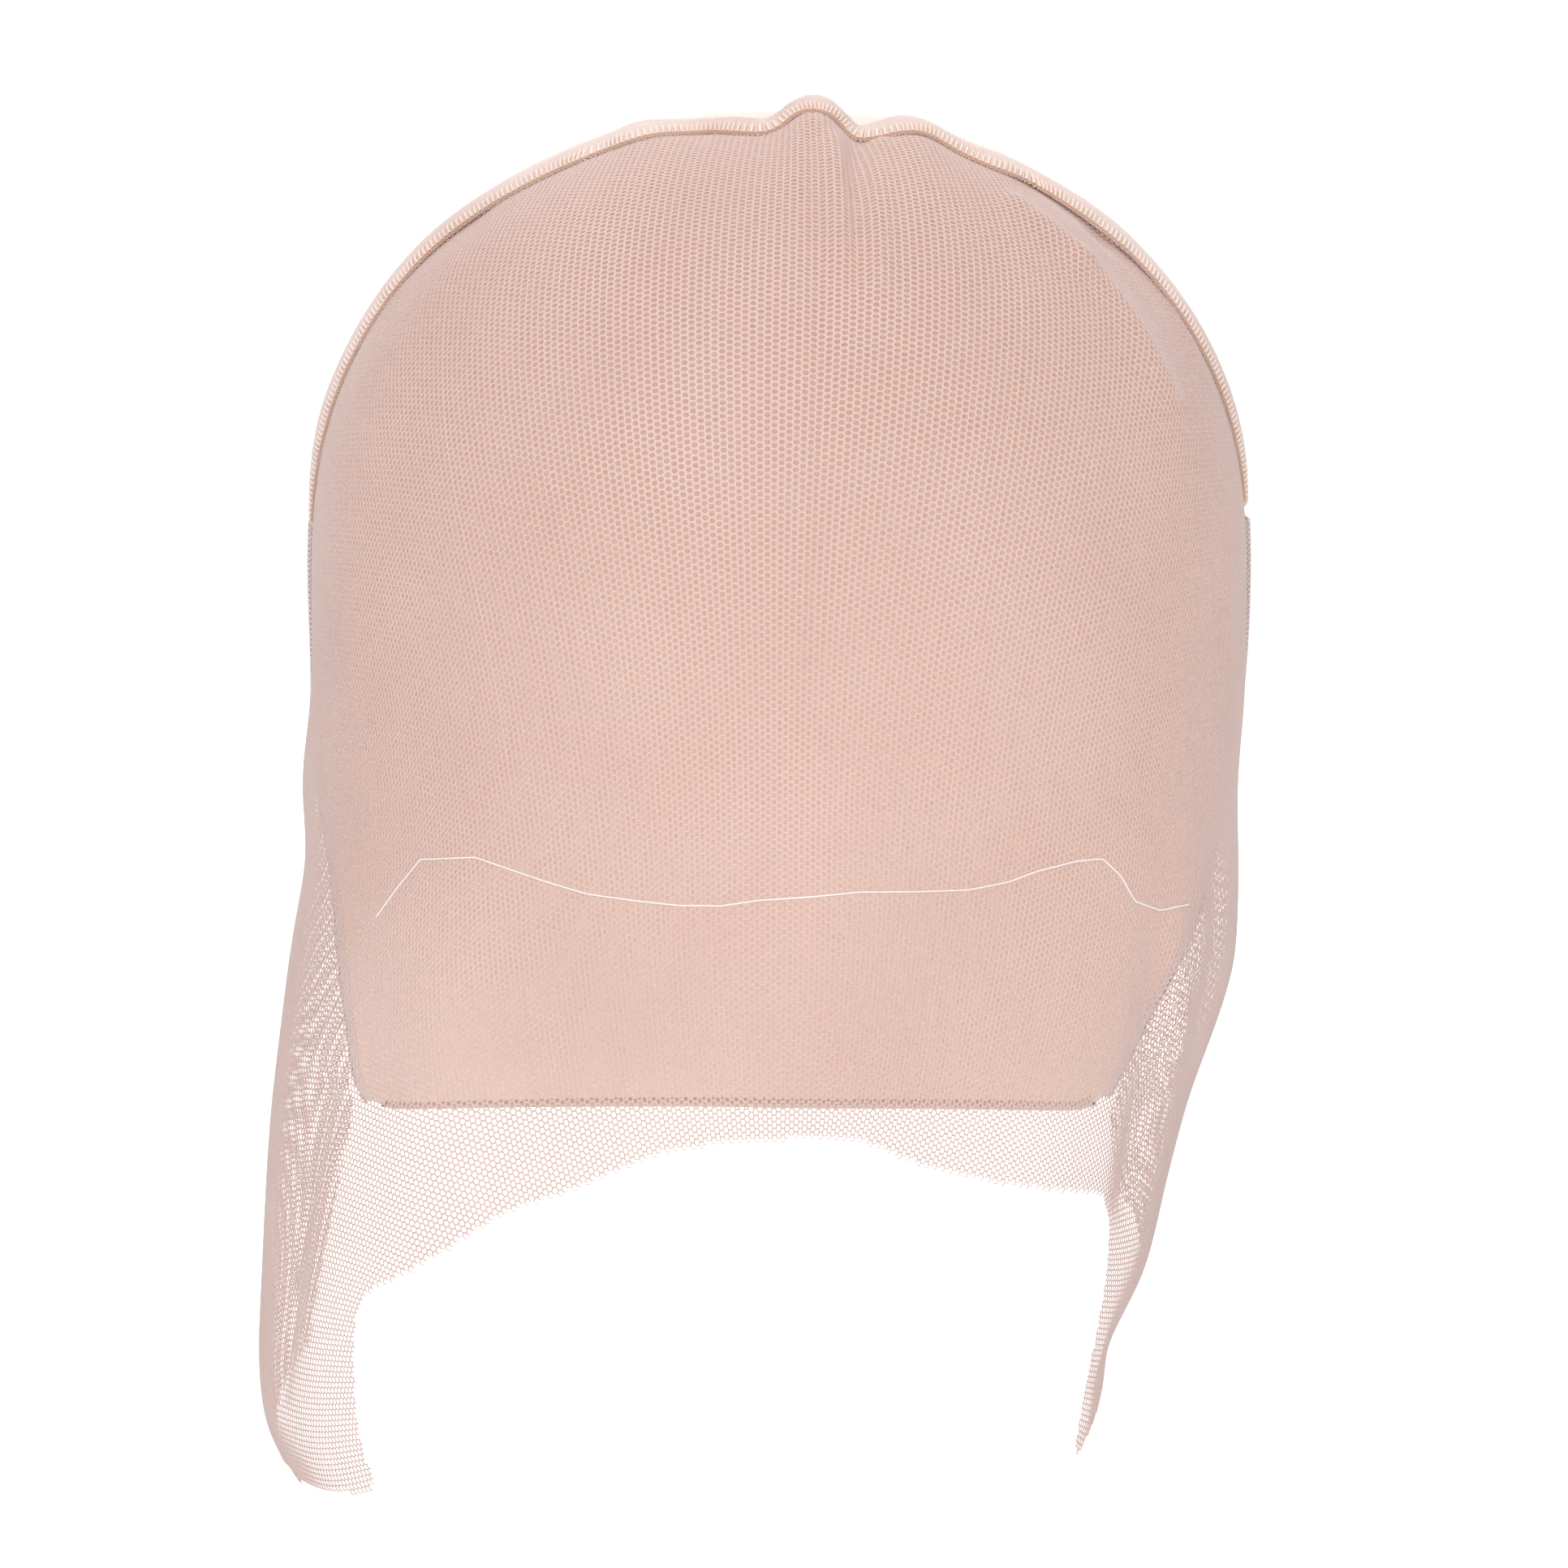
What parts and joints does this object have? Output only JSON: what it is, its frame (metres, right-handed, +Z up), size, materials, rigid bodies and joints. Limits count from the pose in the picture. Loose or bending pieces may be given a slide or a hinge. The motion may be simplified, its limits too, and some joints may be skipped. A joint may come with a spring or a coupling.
{
  "type": "wig cap",
  "caption": "Worn wig cap: sheer net front sheet with a raw hem and side tails, sewn along a taped seam to a stretch back.",
  "frame": {"origin": "inside of the crown, where the top of the wearer's head carries the cap", "axes": "+Z up as worn, the wearer looks along -Y, +X to the viewer's right as seen from the front"},
  "size_m": [0.1645, 0.206, 0.2271],
  "materials": {
    "stretch_back": "matt ribbed stretch cloth, pale peach",
    "front_net": "sheer hexagon net, pale pink cream",
    "binding_tape": "matt knitted tape with zigzag stitches, pale peach"
  },
  "bodies": {
    "root": {"back_cap": "stretch_back", "lace_front": "front_net", "seam_tape": "binding_tape"}
  },
  "joints": []
}
